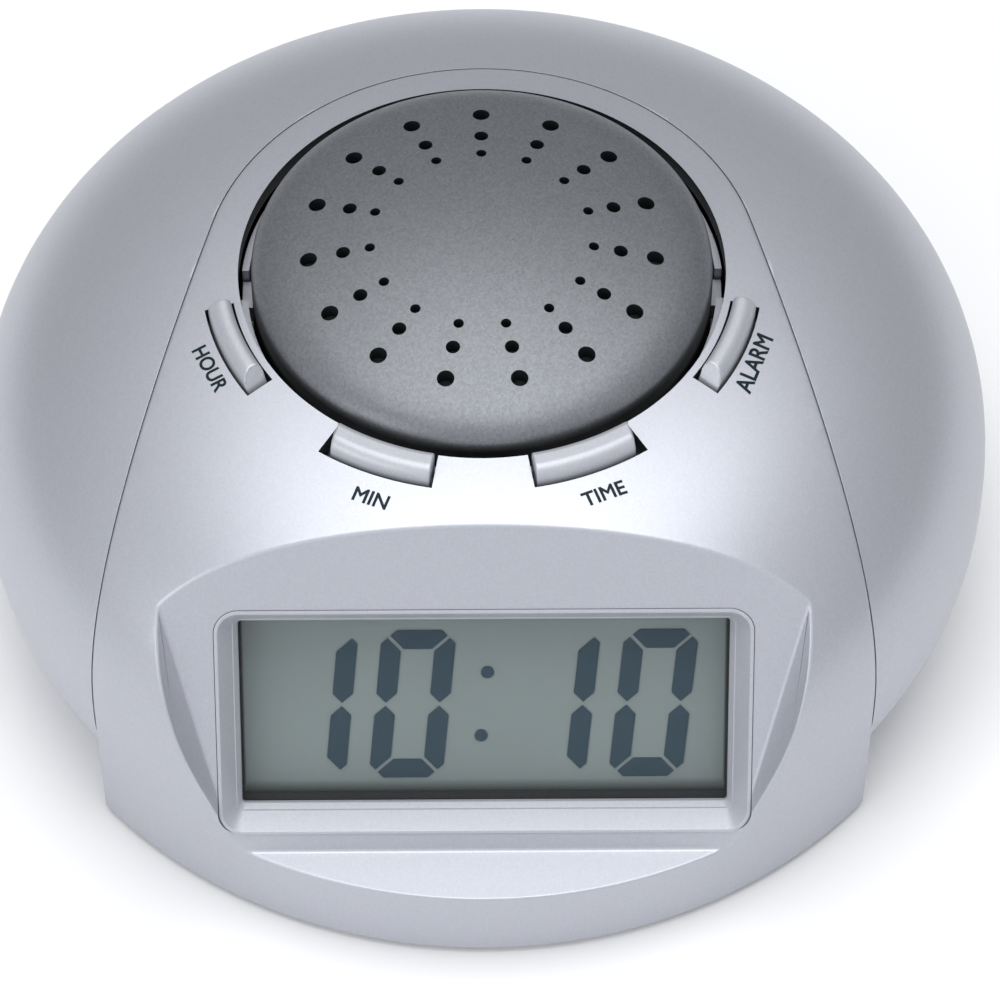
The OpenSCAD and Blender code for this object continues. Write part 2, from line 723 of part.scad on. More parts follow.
// Digits: each stroke is mitred at the corners and pointed at the waist, with fine gaps between
function lean(p) = [p[0] + p[1] * tan(digit_slant), p[1]];
function upright(sx, sy) = let (x = digit_w / 2, y = digit_h / 2 - 1.4 * stroke_gap, m = stroke_gap)
    [for (p = [[x - stroke / 2, m], [x, m + stroke / 2], [x, y - corner_cut],
        [x - corner_cut / 2, y - corner_cut / 2], [x - stroke, y - stroke], [x - stroke, m + stroke / 2]])
        lean([sx * p[0], sy * p[1]])];
function cross_bar(sy) = let (x = digit_w / 2 - 1.4 * stroke_gap, y = digit_h / 2, c = corner_cut)
    [for (p = [[stroke - x, y - stroke], [x - stroke, y - stroke], [x - c / 2, y - c / 2],
        [x - c, y], [c - x, y], [c / 2 - x, y - c / 2]]) lean([p[0], sy * p[1]])];
module one() for (sy = [-1, 1]) polygon(upright(1, sy));
module zero() {
    one();
    for (sy = [-1, 1]) {
        polygon(upright(-1, sy));
        polygon(cross_bar(sy));
    }
}
module lcd_segments() color([0.2, 0.3, 0.36]) behind_face(glass_at) translate([0, -digit_drop])
    linear_extrude(segment_t) {
    for (x = [-digit_mid - digit_pitch, digit_mid]) translate([x, 0]) one();
    for (x = [-digit_mid, digit_mid + digit_pitch]) translate([x, 0]) zero();
    for (y = [-colon_y, colon_y]) translate(lean([0, y])) circle(r = colon_r);
}

module on_back(x, y) behind_face(pcb_back) translate([x, y, 0]) rotate([180, 0, 0]) children();
module voice_chip() color(near_black) on_back(chip_at[0], chip_at[1]) {
    cylinder(r = chip_base_r, h = chip_base_t);
    cylinder(r = chip_r, h = chip_base_t + chip_t);
}
module clock_crystal() color(steel) on_back(crystal_at[0], crystal_at[1]) translate([0, 0, crystal_r])
    rotate([0, 90, 0]) cylinder(r = crystal_r, h = crystal_len);
module capacitors() color([0.15, 0.2, 0.35]) for (x = can_xs) on_back(x, can_y)
    cylinder(r = can_r, h = can_h);

module speaker_gasket() color(near_black) on_speaker(rim_z) ring(basket_r, gasket_in, gasket_t - fit);
module speaker_basket() color(steel) on_speaker() difference() {
    rotate_extrude() polygon([[cone_rim_r + drop_in, rim_z], [basket_r, rim_z], [basket_r, rim_z - basket_t],
        [floor_hole_r, rim_z - basket_t], [basket_foot_r, basket_low], [magnet_r - 3, basket_low],
        [magnet_r - 3, basket_low + basket_t], [basket_foot_r - bite, basket_low + basket_t],
        [floor_hole_r - 1, rim_z - 2 * basket_t]]);
    for (a = [45 : 90 : 315]) rotate([0, 0, a]) translate([basket_foot_r + 2.5, -window_side / 2,
        basket_low + 1.8]) cube([window_side, window_side, window_side / 2]);
}
module speaker_magnet() color(near_black) on_speaker(basket_low - magnet_h) {
    ring(magnet_r, vent_r, magnet_h);
    translate([0, 0, magnet_h - bite]) ring(pole_r, vent_r, pole_h);
}
module speaker_cone() color([0.16, 0.16, 0.17]) on_speaker() rotate_extrude() {
    // Surround and cone, then the voice coil's tube and the dust cap
    polygon([[cone_rim_r, rim_z - seat], [cone_top_r + 0.8, rim_z - seat], [cone_top_r, rim_z - 0.9],
        [coil_r + 1.4, basket_low + 3.9], [coil_r - 0.6, basket_low + 5.4], [coil_r / 2, basket_low + 6.2],
        [0, basket_low + 6.5], [0, basket_low + 6.5 - cone_t], [coil_r, basket_low + 4.4],
        [coil_r, basket_low + 1.2], [coil_r + coil_t, basket_low + 1.2], [coil_r + coil_t, basket_low + 3.2],
        [cone_top_r + 0.2, rim_z - 0.9 - cone_t], [cone_top_r + 1.1, rim_z - seat - cone_t],
        [cone_rim_r, rim_z - seat - cone_t]]);
}

module in_bay(s) translate([0, bay_mid + s * cell_pitch / 2, cell_z]) rotate([0, 0, s < 0 ? 0 : 180])
    children();
module battery_cells() color([0.25, 0.27, 0.3]) for (s = [-1, 1]) in_bay(s) rotate([0, 90, 0]) {
    translate([0, 0, bay_half_x - plate_t - cell_len - seat]) cylinder(r = cell_r, h = cell_len - nub_h);
    translate([0, 0, bay_half_x - plate_t - 2 * nub_h - seat]) cylinder(r = nub_r, h = 2 * nub_h);
}
module battery_springs() color(steel) for (s = [-1, 1]) in_bay(s)
    translate([-bay_half_x + plate_t, 0, 0]) rotate([0, 90, 0])
        coil(contact_r, contact_wire, contact_turns, 2 * (bay_half_x - plate_t) - cell_len - seat);
module battery_plates() color(steel) for (s = [-1, 1], e = [-1, 1]) in_bay(s)
    translate([e * (bay_half_x - plate_t / 2) - plate_t / 2, -plate_w / 2, -plate_h / 2])
        cube([plate_t, plate_w, plate_h]);

module pan_screw(r, length, cap_radius, cap_height) color(steel) {
    cylinder(r = cap_radius, h = cap_height);
    cylinder(r = r, h = length);
}
module case_screws() for (p = [front_boss, rear_boss]) both_sides()
    translate([p[0], p[1], edge_z + head_sink]) pan_screw(screw_r, screw_len, head_r, head_h);
module tray_screws() for (a = ear_angles) {
    clamped = a > 180 ? board_t : 0;
    around_speaker(a, ear_ring_r, ear_low - clamped - small_head_h)
        pan_screw(small_screw_r, small_head_h + clamped + ear_t + tray_screw_bite, small_head_r,
            small_head_h);
}
module speaker_screws() for (a = clamp_angles)
    around_speaker(a, clamp_ring_r, rim_z - basket_t - clamp_head_h)
        pan_screw(clamp_r, clamp_head_h + basket_t + gasket_t + floor_t + clamp_boss_h - bite
            - screw_tip_room, clamp_head_r, clamp_head_h);
module board_screws() behind_face(pcb_back + small_head_h) at_stands()
    pan_screw(small_screw_r, pcb_back + 2 * small_head_h - lens_at, small_head_r, small_head_h);
module rubber_feet() color(near_black) for (p = feet) both_sides()
    translate([p[0], p[1], 0]) cylinder(r = foot_r, h = foot_h + foot_sink);

rear_shell();
front_shell();
base_plate();
battery_door();
speaker_tray();
talk_cap();
dust_cloth();
cap_springs();
talk_switch();
talk_plunger();
hour_key();
minute_key();
time_key();
alarm_key();
hour_plunger();
minute_plunger();
time_plunger();
alarm_plunger();
key_switches();
key_board();
lcd_bezel();
lcd_lens();
lcd_frame();
lcd_glass();
lcd_segments();
lcd_reflector();
contact_strips();
main_board();
voice_chip();
clock_crystal();
capacitors();
speaker_basket();
speaker_magnet();
speaker_cone();
speaker_gasket();
battery_cells();
battery_springs();
battery_plates();
case_screws();
tray_screws();
speaker_screws();
board_screws();
rubber_feet();
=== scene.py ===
import math

import bmesh
import bpy
from mathutils import Matrix, Vector


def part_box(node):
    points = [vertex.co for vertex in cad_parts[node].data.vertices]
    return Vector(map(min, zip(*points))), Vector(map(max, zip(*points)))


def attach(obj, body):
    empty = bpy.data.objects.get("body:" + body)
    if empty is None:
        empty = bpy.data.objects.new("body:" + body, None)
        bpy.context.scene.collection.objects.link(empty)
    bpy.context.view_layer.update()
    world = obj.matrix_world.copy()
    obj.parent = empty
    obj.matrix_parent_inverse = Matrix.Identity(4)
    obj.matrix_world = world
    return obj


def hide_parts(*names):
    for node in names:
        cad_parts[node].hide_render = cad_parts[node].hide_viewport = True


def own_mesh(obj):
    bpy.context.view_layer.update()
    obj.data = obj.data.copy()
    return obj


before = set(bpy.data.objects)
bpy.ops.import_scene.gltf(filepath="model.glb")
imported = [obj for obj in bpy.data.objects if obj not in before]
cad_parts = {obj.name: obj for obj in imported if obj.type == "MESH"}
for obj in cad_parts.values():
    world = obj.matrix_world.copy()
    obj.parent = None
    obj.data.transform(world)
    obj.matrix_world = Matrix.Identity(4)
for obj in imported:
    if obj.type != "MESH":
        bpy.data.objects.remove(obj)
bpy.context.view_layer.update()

# Camera: a short telephoto look down on the clock from in front, almost in line with its middle.
# It stands about half a metre away and is turned a fraction of a degree, as the photograph is.
mm = 0.001
camera_place = (-0.526, -333.010, 449.419)
camera_right = (0.99998, -0.00696, 0.00067)
camera_up = (0.00516, 0.79881, 0.60156)
camera_back = (-0.00472, -0.60154, 0.79883)
camera_lens = 163.1
camera_data = bpy.data.cameras.new("camera")
camera_data.sensor_width = 36
camera_data.lens = camera_lens
camera_data.clip_start = 0.01
camera = bpy.data.objects.new("camera", camera_data)
bpy.context.scene.collection.objects.link(camera)
camera.matrix_world = Matrix.Translation(Vector(camera_place) * mm) @ Matrix(
    (camera_right, camera_up, camera_back)).transposed().to_4x4()
bpy.context.scene.camera = camera

# Table: a plain white sheet, lit as the clock is, with only the clock's soft shadow on it.
# The room is white too, so that the paint and the window have something pale to mirror.
bpy.context.scene.view_settings.view_transform = "Standard"
table_size = 6.0
bpy.ops.mesh.primitive_plane_add(size=table_size, location=(0, 0, 0))
table = bpy.context.object
table.name = "table"
table_paint = bpy.data.materials.new("table_paint")
table_paint.use_nodes = True
table_surface = table_paint.node_tree.nodes["Principled BSDF"]
table_surface.inputs["Roughness"].default_value = 0.9
table_surface.inputs["Specular IOR Level"].default_value = 0.1
table_surface.inputs["Base Color"].default_value = (0.92, 0.92, 0.92, 1)
table.data.materials.append(table_paint)

world = bpy.data.worlds.new("white_room")
bpy.context.scene.world = world
world.use_nodes = True
world_nodes, world_links = world.node_tree.nodes, world.node_tree.links
room = world_nodes["Background"]
room.inputs["Strength"].default_value = 1.0
sky_shades = ((0.0, 0.25), (0.35, 0.51), (0.70, 0.86), (1.0, 0.88))
brighter_towards = (-0.10, -0.80, 0.60)
direction = world_nodes.new("ShaderNodeTexCoord")
facing = world_nodes.new("ShaderNodeVectorMath")
facing.operation = "DOT_PRODUCT"
facing.inputs[1].default_value = brighter_towards
sky = world_nodes.new("ShaderNodeValToRGB")
for place, shade in sky_shades[1:-1]:
    sky.color_ramp.elements.new(place)
for stop, (place, shade) in zip(sky.color_ramp.elements, sky_shades):
    stop.position = place
    stop.color = (shade, shade * 1.01, shade * 1.05, 1)
world_links.new(direction.outputs["Generated"], facing.inputs[0])
world_links.new(facing.outputs["Value"], sky.inputs["Fac"])
world_links.new(sky.outputs["Color"], room.inputs["Color"])


def soft_light(name, place, aim, size, power):
    """A square studio light that looks from one point at another, in metres"""
    data = bpy.data.lights.new(name, "AREA")
    data.size = size
    data.energy = power
    lamp = bpy.data.objects.new(name, data)
    bpy.context.scene.collection.objects.link(lamp)
    lamp.location = place
    lamp.rotation_euler = (Vector(place) - Vector(aim)).to_track_quat("Z", "Y").to_euler()


soft_light("overhead", (0.02, 0.08, 0.73), (0, 0, 0.03), size=0.58, power=3.5)
soft_light("front_left", (-0.60, -0.55, 0.45), (0, -0.02, 0.02), size=0.35, power=1.1)

# Rear shell: the back and sides of the dome, one injection moulding in grey plastic, painted
# outside with a pale silver-lilac metallic paint. It wraps round the front shell, with a fine
# open seam, and two screws from below hold it by its posts.
dome_r = 60.0
dome_h = 29.7
dome_power = 2.7
under_h = 36.0
wall = 2.0
edge_z = 0.8
equator_z = 19.1
skirt_h = equator_z - edge_z
base_top = 3.2
seam_gap = 0.035
collar_r = 32.4
seam_splay = math.radians(14.5)
speaker_y = 3.5
turn_steps = 192
upper_steps = 56
under_steps = 14
past = 200.0
clear = 1.0
bite = 0.5
hair = 0.001
small_sides = 24
seam_reach = 0.3
seam_round = 0.05
rear_boss = (38.0, 18.0)
boss_r = 3.2
screw_r = 1.35


def begin(name):
    """A new piece in edit mode, as one point at the origin"""
    bpy.ops.object.select_all(action="DESELECT")
    bpy.ops.mesh.primitive_plane_add(size=mm)
    piece = bpy.context.object
    piece.name = piece.data.name = name
    bpy.ops.object.mode_set(mode="EDIT")
    bpy.ops.mesh.select_mode(type="VERT")
    bpy.ops.mesh.merge(type="CENTER")
    return piece


def draw(points):
    """Pulls the piece's one point along these places, in millimetres"""
    here = Vector((0, 0, 0))
    for k, point in enumerate(points):
        step = (Vector(point) - here) * mm
        if k == 0:
            bpy.ops.transform.translate(value=step)
        else:
            bpy.ops.mesh.extrude_region_move(TRANSFORM_OT_translate={"value": step})
        here = Vector(point)


def close_up():
    """Merges what coincides, turns every face outwards and leaves edit mode"""
    bpy.ops.mesh.select_all(action="SELECT")
    bpy.ops.mesh.remove_doubles(threshold=hair * mm)
    bpy.ops.mesh.normals_make_consistent(inside=False)
    bpy.ops.object.mode_set(mode="OBJECT")


def lathe(name, section, steps=turn_steps, centre_y=0.0):
    """A half section of (radius, height) turned once round an upright axis"""
    piece = begin(name)
    draw([(r, centre_y, z) for r, z in section])
    bpy.ops.mesh.select_all(action="SELECT")
    bpy.ops.mesh.spin(steps=steps, angle=math.tau, center=(0, centre_y * mm, 0), axis=(0, 0, 1))
    close_up()
    return piece


def prism(name, points, low, high):
    """An outline seen from above, filled and pulled up from one level to another"""
    piece = begin(name)
    draw([(x, y, low) for x, y in list(points) + [points[0]]])
    bpy.ops.mesh.select_all(action="SELECT")
    bpy.ops.mesh.remove_doubles(threshold=hair * mm)
    bpy.ops.mesh.edge_face_add()
    bpy.ops.mesh.extrude_region_move(TRANSFORM_OT_translate={"value": (0, 0, (high - low) * mm)})
    close_up()
    return piece


def rod(name, place, r, low, high, sides=48):
    """An upright cylinder between two levels"""
    bpy.ops.object.select_all(action="DESELECT")
    bpy.ops.mesh.primitive_cylinder_add(vertices=sides, radius=r * mm, depth=(high - low) * mm,
        location=Vector((place[0], place[1], (high + low) / 2)) * mm)
    piece = bpy.context.object
    piece.name = piece.data.name = name
    bpy.ops.object.transform_apply()
    return piece


def block(name, low, high):
    """A box between its lowest and highest corners"""
    bpy.ops.object.select_all(action="DESELECT")
    bpy.ops.mesh.primitive_cube_add(size=1, location=(Vector(low) + Vector(high)) / 2 * mm,
        scale=(Vector(high) - Vector(low)) * mm)
    piece = bpy.context.object
    piece.name = piece.data.name = name
    bpy.ops.object.transform_apply()
    return piece


def together(pieces):
    """Several separate pieces as one object"""
    bpy.ops.object.select_all(action="DESELECT")
    for piece in pieces:
        piece.select_set(True)
    bpy.context.view_layer.objects.active = pieces[0]
    if len(pieces) > 1:
        bpy.ops.object.join()
    return pieces[0]


def apply_all(piece):
    """Applies every modifier of a piece"""
    bpy.ops.object.select_all(action="DESELECT")
    piece.select_set(True)
    bpy.context.view_layer.objects.active = piece
    for modifier in list(piece.modifiers):
        bpy.ops.object.modifier_apply(modifier=modifier.name)


def carve(piece, tool, how="DIFFERENCE"):
    """Cuts the tool out of the piece, joins it or keeps what they share, and removes the tool"""
    cut = piece.modifiers.new("cut", "BOOLEAN")
    cut.operation = how
    cut.solver = "MANIFOLD"
    cut.object = tool
    apply_all(piece)
    bpy.data.objects.remove(tool)


def settle(piece, reach, sharp=25.0):
    """Draws points that lie close to a cut's edge onto it, so that its rounding runs evenly"""
    mesh = bmesh.new()
    mesh.from_mesh(piece.data)
    bmesh.ops.dissolve_degenerate(mesh, dist=hair * mm, edges=mesh.edges)
    for _ in range(2):
        edges = [e for e in mesh.edges
            if len(e.link_faces) == 2 and e.calc_face_angle(0) > math.radians(sharp)]
        held = {}
        for e in edges:
            for v in e.verts:
                held[v] = held.get(v, 0) + 1
        moved = {}
        for e in sorted(mesh.edges, key=lambda e: e.calc_length()):
            if e.calc_length() >= reach * mm:
                break
            a, b = e.verts
            if (a in held) == (b in held) and not (a in held and e in edges):
                continue
            if held.get(a, 0) > held.get(b, 0):
                a, b = b, a
            if held.get(a, 0) > 2 or a in moved or b in moved or a in moved.values():
                continue
            moved[a] = b
        bmesh.ops.weld_verts(mesh, targetmap=moved)
        bmesh.ops.dissolve_degenerate(mesh, dist=hair * mm, edges=mesh.edges)
    mesh.to_mesh(piece.data)
    mesh.free()


def round_edges(piece, width, sharp=25.0, steps=3):
    """Breaks every edge that is sharper than an angle with a small radius"""
    bevel = piece.modifiers.new("edges", "BEVEL")
    bevel.width = width * mm
    bevel.segments = steps
    bevel.limit_method = "ANGLE"
    bevel.angle_limit = math.radians(sharp)
    bevel.use_clamp_overlap = False
    bevel.miter_outer = "MITER_ARC"
    apply_all(piece)


def smooth(piece, sharp=32.0):
    """Smooth shading that keeps flat faces flat beside their rounded edges"""
    bpy.ops.object.select_all(action="DESELECT")
    piece.select_set(True)
    bpy.context.view_layer.objects.active = piece
    bpy.ops.object.shade_smooth_by_angle(angle=math.radians(sharp))
    weigh = piece.modifiers.new("normals", "WEIGHTED_NORMAL")
    weigh.keep_sharp = True
    apply_all(piece)


def coat(piece, *materials):
    """Gives a piece its materials and nothing else"""
    piece.data.materials.clear()
    for material in materials:
        piece.data.materials.append(material)


def upper_curve(inset):
    """The dome's superellipse from its widest level to its top"""
    wide, tall = dome_r - inset, dome_h - inset
    curve = []
    for k in range(upper_steps + 1):
        turn = math.radians(90) * k / upper_steps
        far = ((math.cos(turn) / wide) ** dome_power + (math.sin(turn) / tall) ** dome_power)
        reach = far ** (-1 / dome_power)
        curve.append((reach * math.cos(turn) if k < upper_steps else 0.0,
            equator_z + reach * math.sin(turn)))
    return curve


def under_curve(inset, drop):
    """The ellipse that the dome follows under its widest level, from below upwards"""
    return [((dome_r - inset) * math.sqrt(1 - (drop * k / under_steps / under_h) ** 2),
        equator_z - drop * k / under_steps) for k in range(under_steps, 0, -1)]


def surface_z(r, inset=0.0):
    """Height of the dome's surface, or of its inner wall, at a distance from the axis"""
    share = (r / (dome_r - inset)) ** dome_power
    return equator_z + (dome_h - inset) * (1 - share) ** (1 / dome_power)


def front_plan(grow, steps=64):
    """Outline of the front shell from above: an arc behind the speaker and two straight seams"""
    r = collar_r + grow
    end = (r * math.cos(seam_splay) + past * math.sin(seam_splay),
        speaker_y + r * math.sin(seam_splay) - past * math.cos(seam_splay))
    sweep = math.pi - 2 * seam_splay
    arc = [(r * math.cos(seam_splay + sweep * k / steps),
        speaker_y + r * math.sin(seam_splay + sweep * k / steps)) for k in range(steps + 1)]
    return [end] + arc + [(-end[0], end[1])]


def both(place):
    """A place on the right and its twin on the left"""
    return [(place[0], place[1]), (-place[0], place[1])]


def paint(name, colour, metal, rough, fleck, fleck_size, grain=0.15, thinning_and_shade=None):
    """Metallic lacquer: flakes that differ a little in brightness, in an even satin layer. Its colour may
    be darkened downwards between two heights, partly as thinner paint and partly as painted shade"""
    made = bpy.data.materials.new(name)
    made.use_nodes = True
    nodes, links = made.node_tree.nodes, made.node_tree.links
    surface = nodes["Principled BSDF"]
    surface.inputs["Metallic"].default_value = metal
    surface.inputs["Roughness"].default_value = rough
    where = nodes.new("ShaderNodeTexCoord")
    flakes = nodes.new("ShaderNodeTexVoronoi")
    flakes.inputs["Scale"].default_value = 1 / (fleck_size * mm)
    links.new(where.outputs["Object"], flakes.inputs["Vector"])
    bright = nodes.new("ShaderNodeMapRange")
    bright.inputs["To Min"].default_value = 1 - fleck
    bright.inputs["To Max"].default_value = 1 + fleck
    links.new(flakes.outputs["Color"], bright.inputs["Value"])
    shade = nodes.new("ShaderNodeVectorMath")
    shade.operation = "SCALE"
    shade.inputs[0].default_value = colour
    links.new(bright.outputs["Result"], shade.inputs["Scale"])
    links.new(shade.outputs["Vector"], surface.inputs["Base Color"])
    # Painted shade: below the lower height the colour falls to a tenth. This stands partly for thinner paint
    # and partly for shade.
    if thinning_and_shade:
        height = nodes.new("ShaderNodeSeparateXYZ")
        links.new(where.outputs["Object"], height.inputs["Vector"])
        shade_cover = nodes.new("ShaderNodeMapRange")
        shade_cover.inputs["From Min"].default_value = thinning_and_shade[0] * mm
        shade_cover.inputs["From Max"].default_value = thinning_and_shade[1] * mm
        shade_cover.inputs["To Min"].default_value = 0.10
        links.new(height.outputs["Z"], shade_cover.inputs["Value"])
        flake_and_shade = nodes.new("ShaderNodeMath")
        flake_and_shade.operation = "MULTIPLY"
        links.new(bright.outputs["Result"], flake_and_shade.inputs[0])
        links.new(shade_cover.outputs["Result"], flake_and_shade.inputs[1])
        links.new(flake_and_shade.outputs["Value"], shade.inputs["Scale"])
    peel = nodes.new("ShaderNodeTexNoise")
    peel.inputs["Scale"].default_value = 0.5 / (fleck_size * mm)
    links.new(where.outputs["Object"], peel.inputs["Vector"])
    bump = nodes.new("ShaderNodeBump")
    bump.inputs["Strength"].default_value = grain
    bump.inputs["Distance"].default_value = 0.02 * mm
    links.new(peel.outputs["Fac"], bump.inputs["Height"])
    links.new(bump.outputs["Normal"], surface.inputs["Normal"])
    return made


def moulded(name, colour, rough, grain_size=0.4, mottle=0.10, grain=0.15, metal=0.0):
    """Plain moulded plastic or plated metal: a faint mottle and a fine grain"""
    made = bpy.data.materials.new(name)
    made.use_nodes = True
    nodes, links = made.node_tree.nodes, made.node_tree.links
    surface = nodes["Principled BSDF"]
    surface.inputs["Metallic"].default_value = metal
    where = nodes.new("ShaderNodeTexCoord")
    cloud = nodes.new("ShaderNodeTexNoise")
    cloud.inputs["Scale"].default_value = 1 / (grain_size * mm)
    cloud.inputs["Detail"].default_value = 4
    links.new(where.outputs["Object"], cloud.inputs["Vector"])
    tone = nodes.new("ShaderNodeValToRGB")
    tone.color_ramp.elements[0].color = [c * (1 - mottle) for c in colour] + [1]
    tone.color_ramp.elements[1].color = [c * (1 + mottle) for c in colour] + [1]
    links.new(cloud.outputs["Fac"], tone.inputs["Fac"])
    links.new(tone.outputs["Color"], surface.inputs["Base Color"])
    gloss = nodes.new("ShaderNodeMapRange")
    gloss.inputs["To Min"].default_value = rough - 0.06
    gloss.inputs["To Max"].default_value = rough + 0.06
    links.new(cloud.outputs["Fac"], gloss.inputs["Value"])
    links.new(gloss.outputs["Result"], surface.inputs["Roughness"])
    bump = nodes.new("ShaderNodeBump")
    bump.inputs["Strength"].default_value = grain
    bump.inputs["Distance"].default_value = 0.03 * mm
    links.new(cloud.outputs["Fac"], bump.inputs["Height"])
    links.new(bump.outputs["Normal"], surface.inputs["Normal"])
    return made


silver_paint = paint("silver_lacquer", (0.48, 0.495, 0.54), metal=0.60, rough=0.42, fleck=0.05,
    fleck_size=0.20)

rear = lathe("dome_rear", [(x, z) for x, z in reversed(upper_curve(wall))]
    + [(x, z) for x, z in reversed(under_curve(wall, skirt_h))]
    + under_curve(0, skirt_h) + upper_curve(0))
carve(rear, prism("seam_cut", front_plan(seam_gap), -past, past))
settle(rear, seam_reach)
round_edges(rear, seam_round, steps=2)
rear_top = surface_z(math.hypot(*rear_boss) + boss_r) - wall / 2
carve(rear, together([rod("post", p, boss_r, base_top, rear_top) for p in both(rear_boss)]), "UNION")
post_hole = 12.0
carve(rear, together([rod("hole", p, screw_r, base_top - clear, base_top + post_hole)
    for p in both(rear_boss)]))
smooth(rear)
coat(rear, silver_paint)
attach(rear, "housing")
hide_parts("rear_shell")

# Front shell: the top round the speaker and the whole front, one moulding in the same paint. The
# display face is sunk into it over a flat ledge, with a slanted facet at each end. The well and
# the key slots are moulded through its top.
ledge_z = 11.4
face_front = 53.3
face_tilt = math.radians(60)
face_foot_w = 28.5
face_splay = math.radians(14.4)
facet_flare = math.radians(32)
display_up = 16.2
bezel_w = 60.6
bezel_h = 28.0
bezel_r = 2.8
well_r = 28.2
cap_r = 26.7
slot_r = 32.4
rib_t = 0.8
slot_half = math.radians(12.3)
key_angles = [math.radians(a) for a in (-157.5, -112.5, -67.5, -22.5)]
drop_in = 0.07
cut_rise = 15
edge_reach = 0.5
edge_round = 0.32
bezel_reach = 20.0
rim_slack = 0.05
ear_angles = (45, 135, 225, 315)
ear_ring_r = 30.3
ear_post_r = 1.9
ear_top = 41.2
stand_r = 2.2
stand_deep = 4.7
small_screw_r = 0.95
small_hole = 2.5
stand_x = 33.35
stand_ys = (-4.2, 10.8)
stands = [(x, y) for x in (-stand_x, stand_x) for y in stand_ys]
face_place = Matrix.Translation(Vector((0, -face_front, ledge_z)) * mm) @ Matrix.Rotation(face_tilt, 4, "X")
display_place = face_place @ Matrix.Translation(Vector((0, display_up, 0)) * mm)


def round_speaker(angle, r):
    """A place on a ring about the speaker's axis"""
    turn = math.radians(angle)
    return (r * math.cos(turn), speaker_y + r * math.sin(turn))


def put(piece, place):
    """Carries a piece from where it was drawn to its place, and keeps that in its mesh"""
    bpy.ops.object.select_all(action="DESELECT")
    piece.select_set(True)
    bpy.context.view_layer.objects.active = piece
    piece.matrix_world = place
    bpy.ops.object.transform_apply()
    return piece


def trim(piece, at, normal):
    """Cuts off what lies beyond a plane and closes the cut"""
    bpy.ops.object.select_all(action="DESELECT")
    piece.select_set(True)
    bpy.context.view_layer.objects.active = piece
    bpy.ops.object.mode_set(mode="EDIT")
    bpy.ops.mesh.select_all(action="SELECT")
    bpy.ops.mesh.bisect(plane_co=at, plane_no=normal, use_fill=True, clear_outer=True)
    close_up()


def recess(grow):
    """The room in front of the display face and over the ledge, or that room and a wall round it"""
    room_w, room_h, room_deep, room_low = 160.0, 90.0, 90.0, 15.0
    piece = block("recess", (-room_w / 2, -room_low, -grow), (room_w / 2, room_h, room_deep))
    put(piece, face_place)
    turn = face_place.to_3x3()
    for side in (1, -1):
        out = Matrix.Rotation(-face_splay, 3, "Z") @ Matrix.Rotation(facet_flare, 3, "Y") @ Vector((1, 0, 0))
        start = Vector((face_foot_w, 0, 0)) + out * grow
        trim(piece, face_place @ (Vector((side * start.x, start.y, start.z)) * mm),
            turn @ Vector((side * out.x, out.y, out.z)))
    trim(piece, Vector((0, 0, ledge_z - grow)) * mm, (0, 0, -1))
    return piece


def straight_dome(inset, low):
    """The front block's dome, whose widest radius is carried straight down"""
    return lathe("straight_dome", [(0, low), (dome_r - inset, low)] + upper_curve(inset))


def round_rect(w, h, r, steps=8):
    """A rectangle about the origin with round corners"""
    points = []
    for quarter, (sx, sy) in enumerate(((1, 1), (-1, 1), (-1, -1), (1, -1))):
        for k in range(steps + 1):
            turn = math.radians(90) * (quarter + k / steps)
            points.append((sx * (w / 2 - r) + r * math.cos(turn), sy * (h / 2 - r) + r * math.sin(turn)))
    return points


def sector(name, r_in, r_out, middle, half, low, high, steps=24):
    """A slice of a ring about the speaker"""
    turns = [middle - half + 2 * half * k / steps for k in range(steps + 1)]
    return prism(name, [(r_out * math.cos(t), speaker_y + r_out * math.sin(t)) for t in turns]
        + [(r_in * math.cos(t), speaker_y + r_in * math.sin(t)) for t in reversed(turns)], low, high)


ears = [round_speaker(a, ear_ring_r) for a in ear_angles]
front = straight_dome(0, edge_z)
carve(front, prism("front_plan", front_plan(0), -past, past), "INTERSECT")
carve(front, recess(0))
settle(front, edge_reach)
round_edges(front, edge_round)
cut_low = equator_z + cut_rise
carve(front, rod("well", (0, speaker_y), well_r, cut_low, past, turn_steps))
carve(front, together([sector("slot", cap_r if k in (1, 2) else well_r + rib_t, slot_r, key_angles[k],
    slot_half, cut_low, past) for k in range(4)]))
carve(front, put(prism("bezel_hole", round_rect(bezel_w + 2 * drop_in, bezel_h + 2 * drop_in,
    bezel_r + drop_in), -wall - bite, bezel_reach), display_place))
room_floor = edge_z - clear
narrow_room = straight_dome(wall, room_floor)
carve(narrow_room, prism("room_plan", front_plan(-wall), -past, past), "INTERSECT")
round_room = lathe("round_room", [(0, room_floor)] + under_curve(wall, skirt_h + clear) + upper_curve(wall))
for room_piece in (narrow_room, round_room):
    carve(room_piece, recess(wall))
    carve(front, room_piece)
front_boss = (35.65, -22.0)
front_boss_top = surface_z(math.hypot(*front_boss) + boss_r) - wall / 2
posts = [rod("post", p, boss_r, base_top, front_boss_top) for p in both(front_boss)]
ear_root = surface_z(ear_ring_r + speaker_y) - wall / 2
posts += [rod("post", p, ear_post_r, ear_top, ear_root, small_sides) for p in ears]
posts += [put(rod("post", p, stand_r, -stand_deep, -wall / 2, small_sides), display_place) for p in stands]
carve(front, together(posts), "UNION")
holes = [rod("hole", p, screw_r, base_top - clear, base_top + post_hole) for p in both(front_boss)]
holes += [rod("hole", p, small_screw_r, ear_top - clear, ear_top + small_hole, small_sides) for p in ears]
holes += [put(rod("hole", p, small_screw_r, -stand_deep - clear, -stand_deep + small_hole, small_sides),
    display_place) for p in stands]
carve(front, together(holes))
smooth(front)
front.name = front.data.name = "dome_front"
